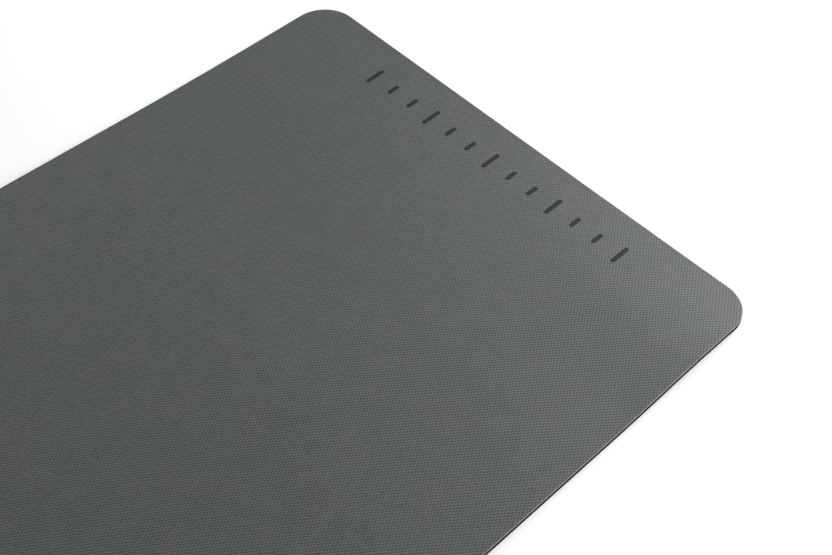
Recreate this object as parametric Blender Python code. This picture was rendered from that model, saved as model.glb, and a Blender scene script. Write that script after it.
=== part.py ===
"""Exercise mat: two foam layers bonded face to face, laid out flat on the floor.

Metres, +Z up. The origin is on the floor under the middle of the mat. +Y runs along the
length to the far end, and +X runs across the mat to its right-hand long edge. The mat is
stored rolled up, so its ends curl off the floor a little, and the right-hand edge keeps a
wave close to the far end. Both layers follow the same bond surface, which holds that shape.
"""

import math

import bmesh
import bpy

# The flat mat
MAT_LENGTH = 1.83
MAT_WIDTH = 0.61
CORNER_RADIUS = 0.04
TOP_LAYER_THICKNESS = 0.003
BASE_LAYER_THICKNESS = 0.0027
BOND_CLEARANCE = 0.0003

# Curl of each end: the lift of the corner, and how far from the end it starts
FAR_LEFT_LIFT = 0.007
FAR_LEFT_REACH = 0.26
FAR_RIGHT_LIFT = 0.002
FAR_RIGHT_REACH = 0.36
NEAR_LEFT_LIFT = 0.005
NEAR_LEFT_REACH = 0.34
NEAR_RIGHT_LIFT = 0.0065
NEAR_RIGHT_REACH = 0.26
CURL_POWER = 1.6

# Wave in the right-hand long edge, fading out across the mat
WAVE_HEIGHT = 0.004
WAVE_CREST_FROM_END = 0.082
WAVE_HALF_LENGTH = 0.122
WAVE_FADE_POWER = 4

# Facets: counts of cuts, and the distance within which a cut runs through a corner point
ARC_STEPS = 6
STEPS_ACROSS = 8
STEPS_ALONG_CURL = 10
STEPS_ALONG_FLAT = 6
SNAP_DISTANCE = 0.00002

TOP_COLOUR = (0.122, 0.133, 0.131)
TOP_ROUGHNESS = 0.62
BASE_COLOUR = (0.016, 0.017, 0.017)
BASE_ROUGHNESS = 0.8


def clear_scene():
    for item in list(bpy.data.objects):
        bpy.data.objects.remove(item, do_unlink=True)


def foam_material(name, colour, roughness):
    material = bpy.data.materials.new(name)
    material.use_nodes = True
    shader = material.node_tree.nodes["Principled BSDF"]
    shader.inputs["Base Color"].default_value = (*colour, 1)
    shader.inputs["Roughness"].default_value = roughness
    shader.inputs["Metallic"].default_value = 0
    return material


def end_curl(across_share, from_end, left, right):
    """Height of one curled end. left and right are each a (lift, reach) pair."""
    lift = left[0] + (right[0] - left[0]) * across_share
    reach = left[1] + (right[1] - left[1]) * across_share
    return lift * max(0, 1 - from_end / reach) ** CURL_POWER


def edge_wave(across_share, from_end):
    """Height of the wave in the right-hand edge: one hump with a level foot."""
    off_crest = min(1, abs(from_end - WAVE_CREST_FROM_END) / WAVE_HALF_LENGTH)
    hump = (1 + math.cos(math.pi * off_crest)) / 2
    return WAVE_HEIGHT * hump * across_share**WAVE_FADE_POWER


def lift_at(x, y):
    """How far the mat stands off the floor at a point of its plan."""
    across_share = min(1, max(0, x / MAT_WIDTH + 0.5))
    from_far_end = max(0, MAT_LENGTH / 2 - y)
    from_near_end = max(0, MAT_LENGTH / 2 + y)
    far = end_curl(
        across_share,
        from_far_end,
        (FAR_LEFT_LIFT, FAR_LEFT_REACH),
        (FAR_RIGHT_LIFT, FAR_RIGHT_REACH),
    )
    near = end_curl(
        across_share,
        from_near_end,
        (NEAR_LEFT_LIFT, NEAR_LEFT_REACH),
        (NEAR_RIGHT_LIFT, NEAR_RIGHT_REACH),
    )
    return far + near + edge_wave(across_share, from_far_end)


def outline_points():
    """The mat's plan, anticlockwise from above: a rectangle with four quarter-circle corners."""
    centre_x = MAT_WIDTH / 2 - CORNER_RADIUS
    centre_y = MAT_LENGTH / 2 - CORNER_RADIUS
    centres = ((centre_x, centre_y), (-centre_x, centre_y), (-centre_x, -centre_y), (centre_x, -centre_y))
    points = []
    for quarter, (x, y) in enumerate(centres):
        for step in range(ARC_STEPS + 1):
            angle = (quarter + step / ARC_STEPS) * math.pi / 2
            points.append((x + CORNER_RADIUS * math.cos(angle), y + CORNER_RADIUS * math.sin(angle)))
    return points


def evenly(start, end, steps):
    return [start + (end - start) * step / steps for step in range(steps + 1)]


def cuts_across():
    """X of the cuts that run along the mat."""
    straight = MAT_WIDTH / 2 - CORNER_RADIUS
    return evenly(-straight, straight, STEPS_ACROSS)


def cuts_along():
    """Y of the cuts that run across the mat, close together where it curls."""
    straight = MAT_LENGTH / 2 - CORNER_RADIUS
    far_flat = MAT_LENGTH / 2 - max(FAR_LEFT_REACH, FAR_RIGHT_REACH)
    near_flat = max(NEAR_LEFT_REACH, NEAR_RIGHT_REACH) - MAT_LENGTH / 2
    near = evenly(-straight, near_flat, STEPS_ALONG_CURL)
    middle = evenly(near_flat, far_flat, STEPS_ALONG_FLAT)
    far = evenly(far_flat, straight, STEPS_ALONG_CURL)
    return near + middle[1:-1] + far


def cut(mesh, place, normal):
    everything = mesh.verts[:] + mesh.edges[:] + mesh.faces[:]
    bmesh.ops.bisect_plane(mesh, geom=everything, dist=SNAP_DISTANCE, plane_co=place, plane_no=normal)


def bond_surface(name, height):
    """The outline cut into facets and lifted to the mat's resting shape, height above the floor."""
    shape = bmesh.new()
    shape.faces.new([shape.verts.new((x, y, 0)) for x, y in outline_points()])
    for x in cuts_across():
        cut(shape, (x, 0, 0), (1, 0, 0))
    for y in cuts_along():
        cut(shape, (0, y, 0), (0, 1, 0))
    for vertex in shape.verts:
        vertex.co.z = height + lift_at(vertex.co.x, vertex.co.y)
    bmesh.ops.triangulate(shape, faces=shape.faces[:])
    mesh = bpy.data.meshes.new(name)
    shape.to_mesh(mesh)
    shape.free()
    return mesh


def layer(name, bond_height, thickness, grows, material):
    """One foam layer: the bond surface thickened upwards (grows 1) or downwards (grows -1)."""
    item = bpy.data.objects.new(name, bond_surface(name, bond_height))
    bpy.context.scene.collection.objects.link(item)
    item.data.materials.append(material)
    solid = item.modifiers.new("foam thickness", "SOLIDIFY")
    solid.thickness = thickness
    solid.offset = grows
    solid.use_even_offset = True
    solid.use_quality_normals = True
    return item


def build_base_layer():
    black_foam = foam_material("black foam", BASE_COLOUR, BASE_ROUGHNESS)
    return layer("base_layer", BASE_LAYER_THICKNESS, BASE_LAYER_THICKNESS, -1, black_foam)


def build_top_layer():
    grey_foam = foam_material("grey embossed foam", TOP_COLOUR, TOP_ROUGHNESS)
    return layer("top_layer", BASE_LAYER_THICKNESS + BOND_CLEARANCE, TOP_LAYER_THICKNESS, 1, grey_foam)


def main():
    clear_scene()
    build_base_layer()
    build_top_layer()


main()
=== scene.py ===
"""Looks of the exercise mat: its two foam layers, their skins and cut edges, and the white studio.

Metres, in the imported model's frame: +Z up, +Y along the mat to its far end, +X across it.
"""

import math

import bmesh
import bpy
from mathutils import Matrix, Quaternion, Vector
from mathutils.geometry import delaunay_2d_cdt


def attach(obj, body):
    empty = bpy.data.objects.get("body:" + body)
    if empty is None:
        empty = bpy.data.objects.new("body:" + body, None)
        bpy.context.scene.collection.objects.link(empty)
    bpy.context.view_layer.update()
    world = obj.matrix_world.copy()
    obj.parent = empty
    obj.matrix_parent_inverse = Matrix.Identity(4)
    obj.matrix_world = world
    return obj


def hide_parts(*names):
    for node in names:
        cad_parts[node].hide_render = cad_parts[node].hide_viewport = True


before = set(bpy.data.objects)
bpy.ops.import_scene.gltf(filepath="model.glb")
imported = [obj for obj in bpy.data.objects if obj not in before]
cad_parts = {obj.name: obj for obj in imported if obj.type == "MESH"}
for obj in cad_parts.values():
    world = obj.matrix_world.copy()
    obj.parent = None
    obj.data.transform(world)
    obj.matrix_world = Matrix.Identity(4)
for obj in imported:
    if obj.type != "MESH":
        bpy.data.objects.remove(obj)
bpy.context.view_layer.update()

MILLIMETRE = 0.001

# The flat mat, as the solids have it
MAT_LENGTH = 1.83
MAT_WIDTH = 0.61
CORNER_RADIUS = 0.04
MAT_THICKNESS = 0.006
BOND_HEIGHT = 0.003

# Curl of each end as (lift of the corner, reach), and the wave in the right-hand edge
FAR_LEFT = (0.007, 0.26)
FAR_RIGHT = (0.002, 0.36)
NEAR_LEFT = (0.005, 0.34)
NEAR_RIGHT = (0.0065, 0.26)
CURL_POWER = 1.6
WAVE_HEIGHT = 0.004
WAVE_CREST_FROM_END = 0.082
WAVE_HALF_LENGTH = 0.122
WAVE_FADE_POWER = 4

# The far right corner is cut a little squarer: how far its tip stands out, and how fast that fades
TIP_DRAWN_OUT = 2.3 * MILLIMETRE
TIP_FADE_POWER = 1.2

# Cut edge: rounded over a little, swelling in the middle of each layer, pinched at the bond,
# the lower layer spreading outwards to its foot, the skin reaching a little way over the edge
EDGE_ROUND = 0.6 * MILLIMETRE
FOOT_ROUND = 0.3 * MILLIMETRE
FOOT_SPREAD = 0.5 * MILLIMETRE
EDGE_SWELL = 0.12 * MILLIMETRE
BOND_PINCH = 0.15 * MILLIMETRE
EDGE_BAND = 1.2 * MILLIMETRE
EDGE_INSET = EDGE_BAND + EDGE_ROUND
ROUND_STEPS = 4
WALL_STEPS = 4
SKIN_DROP = 0.3 * MILLIMETRE

# Alignment marks: a row of plain sunk bars across the far end, every third one long
MARK_COUNT = 13
MARK_PITCH = 29 * MILLIMETRE
MARK_WIDTH = 5 * MILLIMETRE
LONG_MARK = 26 * MILLIMETRE
SHORT_MARK = 16 * MILLIMETRE
LONG_MARK_EVERY = 3
MARKS_FROM_END = 34 * MILLIMETRE
MARK_DEPTH = 0.3 * MILLIMETRE
MARK_DRAFT = 0.25 * MILLIMETRE
MARK_END_STEPS = 8

# Facets
CELL = 0.01
CORNER_CELLS = 4
STEPS_PER_CORNER_CELL = 4
TOUCHING = 0.000001
SAME_PLACE_DIGITS = 6
MOST_SIDES = 4
SHARP_ANGLE = math.radians(35)

# The kind of faces asked of delaunay_2d_cdt: as drawn, cut where they cross, without holes
DRAWN_FACES = 3

# The corners of a face of the rim, as (steps along the rim, rows down it)
RIM_FACE_CORNERS = ((1, 0), (0, 0), (0, 1), (1, 1))

# The place of each finish in a layer's list
SKIN = 0
CUT = 1
MARK = 2

# Embossing of the upper skin and grip ribs of the underside: two crossing families of ripples,
# each as its ripples per metre (across the mat, along it), the second one's share, and the height
EMBOSS_FIRST = (288.8, 198.5)
EMBOSS_SECOND = (288.6, -209.8)
EMBOSS_SECOND_SHARE = 0.6
EMBOSS_HEIGHT = 0.07 * MILLIMETRE

# Pull of the rolling press on the embossing: it widens towards the far end from a line where it
# is true, by so much of its width in a metre, down to a limit, and its rows bow across the mat
TRUE_LINE = 0.7
PULL_WIDER = 0.215
PULL_LIMIT = 0.5
PULL_BOW = 0.0686
GRIP_FIRST = (180, 260)
GRIP_SECOND = (180, -260)
GRIP_SECOND_SHARE = 0.5
GRIP_HEIGHT = 0.15 * MILLIMETRE

# The bake's map: the skin in a far and a near part, and beside them strips of rim and the hidden face
MAP_PIXEL = 1 / 1024
MAP_GAP = 4 * MAP_PIXEL
FAR_PART = 1.371
SKIN_ACROSS = 656 * MAP_PIXEL
SIDE_LEFT = SKIN_ACROSS + 3 * MAP_GAP
STRIPS = 14
STRIP_TALL = 9 * MAP_PIXEL
STRIP_PITCH = 13 * MAP_PIXEL
MAP_ALONG = (1 - 2 * MAP_GAP) / FAR_PART
STRIPS_BOTTOM = SKIN_ACROSS + 3 * MAP_GAP
HIDDEN_BOTTOM = STRIPS_BOTTOM + STRIPS * STRIP_PITCH + MAP_GAP
HIDDEN_WIDE = 1 - MAP_GAP - HIDDEN_BOTTOM
HIDDEN_LONG = 1 - MAP_GAP - SIDE_LEFT

# Camera, fitted to the edges and corners that the photograph shows
CAMERA_PLACE = (0.60126, 0.12152, 0.95626)
CAMERA_AZIMUTH = math.radians(43.0)
CAMERA_ELEVATION = math.radians(50.044)
CAMERA_ROLL = math.radians(3.486)
LENS = 56.143
SENSOR = 36

# Finishes. A colour is linear red, green and blue, a roughness is its least and its greatest
# value, and a noise is its scale per metre and its detail
WHITE = (1, 1, 1, 1)
MIDWAY = 0.5

# The embossed grey skin, its grooves darkened by painted shade and some dirt
GREY_COOL = (0.110, 0.133, 0.140, 1)
GREY_WARM = (0.135, 0.1415, 0.139, 1)
# Colour of the grooves: painted shade in the hollows of the embossing, with some dirt
GREY_GROOVE_SHADE = (0.027, 0.030, 0.0305, 1)
GREY_ROUGHNESS = (0.5, 0.66)
GROOVE_SHADE_CONTRAST = 0.5
CLOUD = (30, 4)
CLOUD_CONTRAST = 1.6
WEAR = (45, 3)
WEAR_CONTRAST = 0.18
SPECK = (600, 2)
SPECK_CONTRAST = 0.8
SHEEN = (60, 2)
GRAIN = (1500, 2)
GRAIN_HEIGHT = 0.02 * MILLIMETRE

# The floor of the alignment marks
MARK_DARK = (0.014, 0.0155, 0.014, 1)
MARK_LIGHT = (0.024, 0.026, 0.0235, 1)
MARK_ROUGHNESS = (0.55, 0.75)
MARK_GLOSS = 0.2
MARK_GRAIN = (900, 2)
MARK_PAD_SHARE = 0.25
MARK_GRAIN_SHARE = 0.15

# The cut foam of both layers, the middle of each open cell darkened by painted shade
CUT_GREY_LIGHT = (0.35, 0.355, 0.35, 1)
CUT_GREY_DARK = (0.235, 0.24, 0.235, 1)
CUT_BLACK_LIGHT = (0.010, 0.010, 0.010, 1)
CUT_BLACK_DARK = (0.004, 0.004, 0.004, 1)
CUT_ROUGHNESS = (0.7, 0.9)
CUT_GLOSS = 0.04
CUT_CLOUD = (90, 2)
FOAM_CELLS_PER_METRE = 2600
FOAM_CELL_SHADE_SHARE = 0.7
FOAM_CELL_HEIGHT = 0.05 * MILLIMETRE

# The black underside, the grooves between its ribs darkened by painted shade
BLACK_LAND = (0.020, 0.021, 0.021, 1)
BLACK_GROOVE_SHADE = (0.010, 0.0105, 0.0105, 1)
BLACK_ROUGHNESS = (0.6, 0.8)
RIB_SHADE_CONTRAST = 0.35

# The sockets of a Mix node for colours, which share their names with its other sockets
MIX_SHARE = 0
MIX_FIRST = 6
MIX_SECOND = 7
MIX_RESULT = 2

# Studio
FLOOR_REACH = 12
FLOOR_DROP = 0.3 * MILLIMETRE
FLOOR_WHITE = (0.9, 0.9, 0.9, 1)
FLOOR_ROUGHNESS = 0.9
FLOOR_GLOW = 0.18
WORLD_LEVEL = 0.12
SOFTBOX_TARGET = (0, 0.6, 0)
SOFTBOX_AWAY = 2.3
SOFTBOX_SIZE = 1.6
SOFTBOX_TINT = (1, 0.99, 0.97)
SOFTBOX_ELEVATION = math.radians(28)
SOFTBOXES = (
    ("softbox_right", math.radians(50), 42),
    ("softbox_far", math.radians(90), 54),
    ("softbox_left", math.radians(180), 13),
)


def end_curl(across_share, from_end, left, right):
    lift = left[0] + (right[0] - left[0]) * across_share
    reach = left[1] + (right[1] - left[1]) * across_share
    return lift * max(0, 1 - from_end / reach) ** CURL_POWER


def edge_wave(across_share, from_end):
    off_crest = min(1, abs(from_end - WAVE_CREST_FROM_END) / WAVE_HALF_LENGTH)
    hump = (1 + math.cos(math.pi * off_crest)) / 2
    return WAVE_HEIGHT * hump * across_share**WAVE_FADE_POWER


def lift_at(x, y):
    """How far the mat stands off the floor at a point of its plan."""
    across_share = min(1, max(0, x / MAT_WIDTH + 0.5))
    from_far_end = max(0, MAT_LENGTH / 2 - y)
    from_near_end = max(0, MAT_LENGTH / 2 + y)
    far = end_curl(across_share, from_far_end, FAR_LEFT, FAR_RIGHT)
    near = end_curl(across_share, from_near_end, NEAR_LEFT, NEAR_RIGHT)
    return far + near + edge_wave(across_share, from_far_end)


def core_point(point):
    """The nearest point of the rectangle on which the round corners are centred."""
    half_width = MAT_WIDTH / 2 - CORNER_RADIUS
    half_length = MAT_LENGTH / 2 - CORNER_RADIUS
    x = min(half_width, max(-half_width, point.x))
    y = min(half_length, max(-half_length, point.y))
    return Vector((x, y))


def outward(point):
    """The direction square to the mat's outline at a point of its border."""
    return (point.xy - core_point(point)).normalized()


def drawn_out(point):
    """Where a point of the plan lies once the far right corner is drawn out to its squarer cut."""
    from_core = point - core_point(point)
    if from_core.x <= 0 or from_core.y <= 0:
        return point
    reach = from_core.length
    towards_tip = (2 * from_core.x * from_core.y / reach**2) ** TIP_FADE_POWER
    draw = TIP_DRAWN_OUT * towards_tip * (reach / CORNER_RADIUS) ** 2
    return point + draw / reach * from_core


def plan_outline(inset):
    """The mat's plan drawn in by inset, anticlockwise from above."""
    radius = CORNER_RADIUS - inset
    steps = CORNER_CELLS * STEPS_PER_CORNER_CELL
    points = []
    for quarter, (side, end) in enumerate(((1, 1), (-1, 1), (-1, -1), (1, -1))):
        centre = core_point(Vector((side * MAT_WIDTH, end * MAT_LENGTH)))
        for step in range(steps + 1):
            angle = (quarter + step / steps) * math.pi / 2
            points.append(centre + radius * Vector((math.cos(angle), math.sin(angle))))
    return points


def mark_line():
    """Y of the middle of the row of alignment marks."""
    return MAT_LENGTH / 2 - MARKS_FROM_END - LONG_MARK / 2


def mark_bars():
    """The alignment marks as (x, half of the straight length) pairs."""
    bars = []
    for number in range(MARK_COUNT):
        length = SHORT_MARK if number % LONG_MARK_EVERY else LONG_MARK
        from_middle = number - (MARK_COUNT - 1) / 2
        bars.append((from_middle * MARK_PITCH, (length - MARK_WIDTH) / 2))
    return bars


def mark_outline(x, straight):
    """One alignment mark as a bar with half-round ends."""
    points = []
    for end in (1, -1):
        for step in range(MARK_END_STEPS + 1):
            angle = step / MARK_END_STEPS * math.pi
            across = end * MARK_WIDTH / 2 * math.cos(angle)
            along = end * (straight + MARK_WIDTH / 2 * math.sin(angle))
            points.append(Vector((x + across, mark_line() + along)))
    return points


def spread(start, end, longest):
    """Evenly spaced values from start to end, no further apart than longest."""
    steps = math.ceil((end - start) / longest)
    return [start + (end - start) * step / steps for step in range(steps + 1)]


def part_line():
    """Y of the line on which the bake's map parts the skin."""
    return MAT_LENGTH / 2 - FAR_PART


def grid_lines(inner, stops, inset):
    """The grid's lines along one axis, through its stops and through points of the round corners."""
    radius = CORNER_RADIUS - inset
    corner = [radius * math.sin(step / CORNER_CELLS * math.pi / 2) for step in range(1, CORNER_CELLS)]
    lines = [-inner - reach for reach in corner] + [inner + reach for reach in corner]
    for start, end in zip([-inner, *stops], [*stops, inner]):
        lines += spread(start, end, CELL)
    return lines


def cap_plan(inset, marked):
    """The flat plan as a grid of small faces, cut along its outline and along the marks.

    Returns the grid's corners, its faces, and whether each face belongs to a mark.
    """
    points = []
    edges = []
    outlines = []

    def draw(line):
        edges.append((len(points), len(points) + 1))
        points.extend(line)

    def enclose(outline):
        outlines.append(list(range(len(points), len(points) + len(outline))))
        points.extend(outline)

    inner = core_point(Vector((MAT_WIDTH, MAT_LENGTH)))
    for x in grid_lines(inner.x, [], inset):
        draw([Vector((x, -MAT_LENGTH)), Vector((x, MAT_LENGTH))])
    for y in grid_lines(inner.y, [part_line()], inset):
        draw([Vector((-MAT_WIDTH, y)), Vector((MAT_WIDTH, y))])
    enclose(plan_outline(inset))
    for x, straight in mark_bars() if marked else []:
        enclose(mark_outline(x, straight))
    corners, _, faces, _, _, owners = delaunay_2d_cdt(points, edges, outlines, DRAWN_FACES, TOUCHING)
    inside = [(face, len(owner) > 1) for face, owner in zip(faces, owners) if owner]
    return corners, [face for face, _ in inside], [sunk for _, sunk in inside]


def add_cap(mesh, height, marked, faces_up):
    """One flat face of a layer. Returns its faces, those of its marks, and its border as a ring."""
    corners, faces, in_marks = cap_plan(EDGE_INSET, marked)
    used = {}
    made = []
    for face in faces:
        for number in face:
            if number not in used:
                used[number] = mesh.verts.new((*corners[number], height))
        order = face if faces_up else face[::-1]
        made.append(mesh.faces.new([used[number] for number in order]))
    following = {}
    for face in made:
        for loop in face.loops:
            if loop.edge.is_boundary:
                following[loop.vert] = loop.link_loop_next.vert
    ring = [max(following, key=lambda vert: (round(vert.co.y, SAME_PLACE_DIGITS), vert.co.x))]
    while following[ring[-1]] is not ring[0]:
        ring.append(following[ring[-1]])
    sunk = [face for face, in_mark in zip(made, in_marks) if in_mark]
    if sunk:
        walls = bmesh.ops.inset_region(
            mesh,
            faces=sunk,
            thickness=MARK_DRAFT,
            depth=-MARK_DEPTH,
            use_even_offset=True,
        )
        made += walls["faces"]
        sunk += walls["faces"]
    return made, sunk, ring


def wall(start, end):
    """The upright part of a rim, swelling in its middle, as (outward, height) pairs."""
    points = []
    for step in range(1, WALL_STEPS + 1):
        share = step / WALL_STEPS
        out = start[0] + (end[0] - start[0]) * share + EDGE_SWELL * math.sin(math.pi * share)
        points.append((out, start[1] + (end[1] - start[1]) * share))
    return points


def round_over(height, radius, flare=0):
    """The round between a flat face at height and the wall, as (outward, height) pairs."""
    points = []
    for step in range(ROUND_STEPS + 1):
        angle = step / ROUND_STEPS * math.pi / 2
        out = EDGE_INSET + flare - abs(radius) * (1 - math.sin(angle))
        points.append((out, height + radius * (1 - math.cos(angle))))
    return points


def upper_rim():
    """The upper layer's rim, from its skin down to the bond."""
    rim = round_over(MAT_THICKNESS, -EDGE_ROUND)
    return rim + wall(rim[-1], (EDGE_INSET - BOND_PINCH, BOND_HEIGHT))


def lower_rim():
    """The lower layer's rim, from the bond down to its underside."""
    bond = (EDGE_INSET - BOND_PINCH, BOND_HEIGHT)
    foot = round_over(0, FOOT_ROUND, FOOT_SPREAD)[::-1]
    return [bond] + wall(bond, foot[0]) + foot[1:]


def plan_key(point):
    """A point's place on the plan, rounded so that the borders of both caps give the same."""
    return (round(point.x, SAME_PLACE_DIGITS), round(point.y, SAME_PLACE_DIGITS))


def add_rim(mesh, ring, foot, rim):
    """Joins the caps' borders by rows of faces along the rim. Returns the rows."""
    foot_at = {plan_key(vert.co): vert for vert in foot}
    places = [(vert.co.xy, outward(vert.co)) for vert in ring]
    rings = [ring]
    for out, height in rim:
        rings.append([mesh.verts.new((*(place + direction * out), height)) for place, direction in places])
    rings.append([foot_at[plan_key(place)] for place, _ in places])
    rows = []
    for above, below in zip(rings, rings[1:]):
        row = []
        for number in range(len(ring)):
            after = (number + 1) % len(ring)
            row.append(mesh.faces.new((above[after], above[number], below[number], below[after])))
        rows.append(row)
    return rows


def map_skin(face, uv, side):
    """Lays a face of the visible skin on the map. side is 1 on top and -1 underneath."""
    near = face.calc_center_median().y < part_line()
    for loop in face.loops:
        x, y, _ = loop.vert.co
        across = MAP_GAP + (0.5 + side * x / MAT_WIDTH) * SKIN_ACROSS
        along = abs(y - part_line()) * MAP_ALONG
        loop[uv].uv = (SIDE_LEFT + along, across) if near else (across, MAP_GAP + along)


def map_hidden(face, uv, side):
    """Lays a face of the bonded side on a small corner of the map."""
    for loop in face.loops:
        x, y, _ = loop.vert.co
        along = SIDE_LEFT + (0.5 + y / MAT_LENGTH) * HIDDEN_LONG
        across = HIDDEN_BOTTOM + (0.5 - side * x / MAT_WIDTH) * HIDDEN_WIDE
        loop[uv].uv = (along, across)


def map_rim(rows, ring, rim, uv):
    """Lays the rim on the map as strips one above the other, each with two cells to spare."""
    along = [0]
    for start, end in zip(ring, ring[1:] + ring[:1]):
        along.append(along[-1] + (end.co.xy - start.co.xy).length)
    profile = [(0, rim[0][1]), *rim, (0, rim[-1][1])]
    down = [0]
    for start, end in zip(profile, profile[1:]):
        down.append(down[-1] + math.dist(start, end))
    strip = along[-1] / STRIPS
    scale = (1 - MAP_GAP - SIDE_LEFT) / (strip + 2 * CELL)
    for number, row in enumerate(rows):
        for place, face in enumerate(row):
            count = min(STRIPS - 1, int(along[place] / strip))
            bottom = STRIPS_BOTTOM + count * STRIP_PITCH
            for loop, (step, level) in zip(face.loops, RIM_FACE_CORNERS):
                u = SIDE_LEFT + (along[place + step] - count * strip) * scale
                v = bottom + (1 - down[number + level] / down[-1]) * STRIP_TALL
                loop[uv].uv = (u, v)


def foam_layer(name, top, bottom, rim, skin_on_top, marked, finishes):
    """One foam layer. finishes are its skin, its cut edge and, where it has marks, their floor."""
    mesh = bmesh.new()
    uv = mesh.loops.layers.uv.new("OFBake")
    upper, sunk, ring = add_cap(mesh, top, marked, faces_up=True)
    lower, _, foot = add_cap(mesh, bottom, False, faces_up=False)
    rows = add_rim(mesh, ring, foot, rim)
    for face in upper:
        map_skin(face, uv, 1) if skin_on_top else map_hidden(face, uv, 1)
    for face in lower:
        map_hidden(face, uv, -1) if skin_on_top else map_skin(face, uv, -1)
    map_rim(rows, ring, rim, uv)
    for row in rows:
        for face in row:
            heights = [vert.co.z for vert in face.verts]
            skinned = min(heights) > top - SKIN_DROP if skin_on_top else max(heights) < bottom + SKIN_DROP
            face.material_index = SKIN if skinned else CUT
    for face in sunk:
        face.material_index = MARK
    many_sided = [face for face in mesh.faces if len(face.verts) > MOST_SIDES]
    bmesh.ops.triangulate(mesh, faces=many_sided)
    for vert in mesh.verts:
        vert.co.xy = drawn_out(vert.co.xy)
        vert.co.z += lift_at(vert.co.x, vert.co.y)
    data = bpy.data.meshes.new(name)
    mesh.to_mesh(data)
    mesh.free()
    data.shade_smooth()
    data.set_sharp_from_angle(angle=SHARP_ANGLE)
    for finish in finishes:
        data.materials.append(finish)
    layer = bpy.data.objects.new(name, data)
    bpy.context.scene.collection.objects.link(layer)
    return layer


class Wire:
    """An output of a node. Arithmetic on it adds Math nodes to its finish."""

    def __init__(self, finish, socket):
        self.finish = finish
        self.socket = socket

    def __add__(self, other):
        return self.finish.math("ADD", self, other)

    def __mul__(self, other):
        return self.finish.math("MULTIPLY", self, other)

    def __sub__(self, other):
        return self.finish.math("SUBTRACT", self, other)

    def __rsub__(self, other):
        return self.finish.math("SUBTRACT", other, self)

    __radd__ = __add__
    __rmul__ = __mul__


class Finish:
    """A material or a world in the making, and the ways to add nodes to it."""

    def __init__(self, owner):
        self.owner = owner
        owner.use_nodes = True
        self.tree = owner.node_tree

    def node(self, kind, settings=None, inputs=None, output=0):
        node = self.tree.nodes.new("ShaderNode" + kind)
        for name, value in (settings or {}).items():
            setattr(node, name, value)
        for name, value in (inputs or {}).items():
            self.feed(node.inputs[name], value)
        return Wire(self, node.outputs[output])

    def feed(self, socket, value):
        if isinstance(value, Wire):
            self.tree.links.new(value.socket, socket)
        else:
            socket.default_value = value

    def math(self, operation, *values):
        return self.node("Math", {"operation": operation}, dict(enumerate(values)))

    def mix(self, share, first, second):
        """A colour between two, where share is 0 at the first."""
        inputs = {MIX_SHARE: share, MIX_FIRST: first, MIX_SECOND: second}
        return self.node("Mix", {"data_type": "RGBA"}, inputs, MIX_RESULT)

    def noise(self, place, kind):
        """Soft noise from 0 to 1, mostly near the middle. Each step of detail adds finer noise."""
        per_metre, detail = kind
        inputs = {"Vector": place, "Scale": per_metre, "Detail": detail}
        return self.node("TexNoise", None, inputs, "Fac")

    def ripples(self, place, first, second, second_share):
        """Two crossing families of ripples, from -1 in their pits to 1 on their pads."""
        return self.ripple(place, first) * (1 - second_share) + self.ripple(place, second) * second_share

    def ripple(self, place, per_metre):
        settings = {"operation": "DOT_PRODUCT"}
        turns = self.node("VectorMath", settings, {0: place, 1: (*per_metre, 0)}, "Value")
        return self.math("COSINE", turns * (2 * math.pi))

    def pulled(self, place):
        """The place in the embossing's own pattern of a place on the mat."""
        x = self.node("SeparateXYZ", None, {"Vector": place}, "X")
        y = self.node("SeparateXYZ", None, {"Vector": place}, "Y")
        past_true = self.math("MAXIMUM", y - TRUE_LINE, -PULL_LIMIT)
        across = x * (past_true * -PULL_WIDER + 1)
        along = x * x * PULL_BOW + y
        return self.node("CombineXYZ", None, {"X": across, "Y": along})

    def bump(self, height, distance, over=None):
        inputs = {"Height": height, "Distance": distance}
        if over:
            inputs["Normal"] = over
        return self.node("Bump", None, inputs)

    def shade(self, **values):
        """Feeds the Principled shader. Names are its sockets' names, with _ for a space."""
        shader = self.tree.nodes["Principled BSDF"]
        for name, value in values.items():
            self.feed(shader.inputs[name.replace("_", " ")], value)
        return self.owner


def within(share, limits):
    """A value that runs from the first of limits to the second as share runs from 0 to 1."""
    least, most = limits
    return share * (most - least) + least


def embossed_grey_skin():
    """Heat-pressed skin: small pads between crossing grooves that painted shade and some dirt darken,
    faintly cloudy in tint and tone.
    """
    finish = Finish(bpy.data.materials.new("embossed_grey_skin"))
    place = finish.node("TexCoord", output="Object")
    pads = finish.ripples(finish.pulled(place), EMBOSS_FIRST, EMBOSS_SECOND, EMBOSS_SECOND_SHARE)
    cloud = finish.noise(place, CLOUD) - MIDWAY
    wear = finish.noise(place, WEAR) - MIDWAY
    speck = finish.noise(place, SPECK) - MIDWAY
    grain = finish.noise(place, GRAIN)
    land = finish.mix(cloud * CLOUD_CONTRAST + MIDWAY, GREY_COOL, GREY_WARM)
    # Darker towards the grooves, where painted shade stands in for the embossing's shading, plus wear and
    # specks at random
    shade = MIDWAY - pads * GROOVE_SHADE_CONTRAST + wear * WEAR_CONTRAST + speck * SPECK_CONTRAST
    colour = finish.mix(shade, land, GREY_GROOVE_SHADE)
    relief = finish.bump(pads, EMBOSS_HEIGHT, finish.bump(grain, GRAIN_HEIGHT))
    return finish.shade(
        Base_Color=colour,
        Roughness=within(finish.noise(place, SHEEN), GREY_ROUGHNESS),
        Normal=relief,
    )


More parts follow.
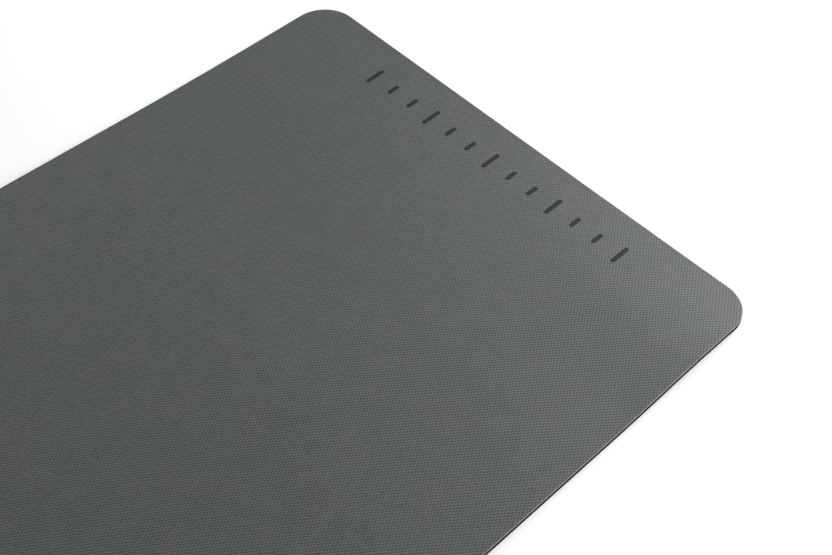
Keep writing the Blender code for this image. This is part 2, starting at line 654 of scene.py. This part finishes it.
def sunk_mark_skin():
    """Floor of the alignment marks: pressed harder, so darker, duller and hardly embossed."""
    finish = Finish(bpy.data.materials.new("sunk_mark_skin"))
    place = finish.node("TexCoord", output="Object")
    pads = finish.ripples(finish.pulled(place), EMBOSS_FIRST, EMBOSS_SECOND, EMBOSS_SECOND_SHARE)
    grain = finish.noise(place, MARK_GRAIN)
    colour = finish.mix(grain, MARK_DARK, MARK_LIGHT)
    relief = finish.bump(pads * MARK_PAD_SHARE + grain * MARK_GRAIN_SHARE, EMBOSS_HEIGHT)
    return finish.shade(
        Base_Color=colour,
        Roughness=within(grain, MARK_ROUGHNESS),
        Specular_IOR_Level=MARK_GLOSS,
        Normal=relief,
    )


def cut_foam(name, light, dark):
    """A cut edge: fine open cells of the foam, the middle of each cell darkened by painted shade."""
    finish = Finish(bpy.data.materials.new(name))
    place = finish.node("TexCoord", output="Object")
    inputs = {"Vector": place, "Scale": FOAM_CELLS_PER_METRE}
    cells = finish.node("TexVoronoi", None, inputs, "Distance")
    cloud = finish.noise(place, CUT_CLOUD)
    # Painted shade in the middle of each open cell, mixed with tone that varies at random
    cell_shade_and_cloud = cells * FOAM_CELL_SHADE_SHARE + cloud * (1 - FOAM_CELL_SHADE_SHARE)
    return finish.shade(
        Base_Color=finish.mix(cell_shade_and_cloud, dark, light),
        Roughness=within(cloud, CUT_ROUGHNESS),
        Specular_IOR_Level=CUT_GLOSS,
        Normal=finish.bump(cells, FOAM_CELL_HEIGHT),
    )


def black_grip_skin():
    """Underside: a black skin with coarser crossing ribs that keep the mat from sliding, painted shade
    darkening the grooves between them.
    """
    finish = Finish(bpy.data.materials.new("black_grip_skin"))
    place = finish.node("TexCoord", output="Object")
    ribs = finish.ripples(place, GRIP_FIRST, GRIP_SECOND, GRIP_SECOND_SHARE)
    grain = finish.noise(place, GRAIN)
    # Darker in the grooves between the ribs: painted shade
    colour = finish.mix(ribs * RIB_SHADE_CONTRAST + MIDWAY, BLACK_GROOVE_SHADE, BLACK_LAND)
    relief = finish.bump(ribs, GRIP_HEIGHT, finish.bump(grain, GRAIN_HEIGHT))
    return finish.shade(Base_Color=colour, Roughness=within(grain, BLACK_ROUGHNESS), Normal=relief)


def make_mat():
    upper = foam_layer(
        "top_foam",
        MAT_THICKNESS,
        BOND_HEIGHT,
        upper_rim(),
        skin_on_top=True,
        marked=True,
        finishes=[
            embossed_grey_skin(),
            cut_foam("cut_grey_foam", CUT_GREY_LIGHT, CUT_GREY_DARK),
            sunk_mark_skin(),
        ],
    )
    lower = foam_layer(
        "base_foam",
        BOND_HEIGHT,
        0,
        lower_rim(),
        skin_on_top=False,
        marked=False,
        finishes=[
            black_grip_skin(),
            cut_foam("cut_black_foam", CUT_BLACK_LIGHT, CUT_BLACK_DARK),
        ],
    )
    for piece, node, slot in ((upper, "top_layer", "top_foam"), (lower, "base_layer", "base_foam")):
        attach(piece, "root")
        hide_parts(node)


def floor_paper():
    """White paper that shows as white to the camera and keeps the mat's shadow."""
    finish = Finish(bpy.data.materials.new("white_floor_paper"))
    seen = finish.node("LightPath", output="Is Camera Ray")
    return finish.shade(
        Base_Color=FLOOR_WHITE,
        Roughness=FLOOR_ROUGHNESS,
        Specular_IOR_Level=0,
        Emission_Color=WHITE,
        Emission_Strength=seen * FLOOR_GLOW,
    )


def make_floor():
    mesh = bmesh.new()
    bmesh.ops.create_grid(mesh, x_segments=1, y_segments=1, size=FLOOR_REACH)
    data = bpy.data.meshes.new("floor")
    mesh.to_mesh(data)
    mesh.free()
    data.materials.append(floor_paper())
    floor = bpy.data.objects.new("floor", data)
    floor.location.z = -FLOOR_DROP
    bpy.context.scene.collection.objects.link(floor)


def add_softbox(name, azimuth, power):
    """A square softbox aimed at the part of the mat that the camera sees."""
    light = bpy.data.lights.new(name, "AREA")
    light.size = SOFTBOX_SIZE
    light.energy = power
    light.color = SOFTBOX_TINT
    lamp = bpy.data.objects.new(name, light)
    level = math.cos(SOFTBOX_ELEVATION)
    towards = Vector((math.cos(azimuth) * level, math.sin(azimuth) * level, math.sin(SOFTBOX_ELEVATION)))
    lamp.location = Vector(SOFTBOX_TARGET) + SOFTBOX_AWAY * towards
    lamp.rotation_mode = "QUATERNION"
    lamp.rotation_quaternion = (-towards).to_track_quat("-Z", "Y")
    bpy.context.scene.collection.objects.link(lamp)


def make_lights():
    world = bpy.data.worlds.new("white_studio")
    bpy.context.scene.world = world
    finish = Finish(world)
    seen = finish.node("LightPath", output="Is Camera Ray")
    background = finish.tree.nodes["Background"]
    finish.feed(background.inputs["Color"], WHITE)
    finish.feed(background.inputs["Strength"], seen * (1 - WORLD_LEVEL) + WORLD_LEVEL)
    for softbox in SOFTBOXES:
        add_softbox(*softbox)


def make_camera():
    camera = bpy.data.objects.new("camera", bpy.data.cameras.new("camera"))
    camera.data.lens = LENS
    camera.data.sensor_width = SENSOR
    camera.location = CAMERA_PLACE
    level = math.cos(CAMERA_ELEVATION)
    back = Vector(
        (
            math.sin(CAMERA_AZIMUTH) * level,
            -math.cos(CAMERA_AZIMUTH) * level,
            math.sin(CAMERA_ELEVATION),
        )
    )
    camera.rotation_mode = "QUATERNION"
    roll = Quaternion((0, 0, 1), CAMERA_ROLL)
    camera.rotation_quaternion = (-back).to_track_quat("-Z", "Y") @ roll
    bpy.context.scene.collection.objects.link(camera)
    bpy.context.scene.camera = camera


make_camera()
make_mat()
make_floor()
make_lights()
bpy.context.scene.view_settings.view_transform = "Standard"
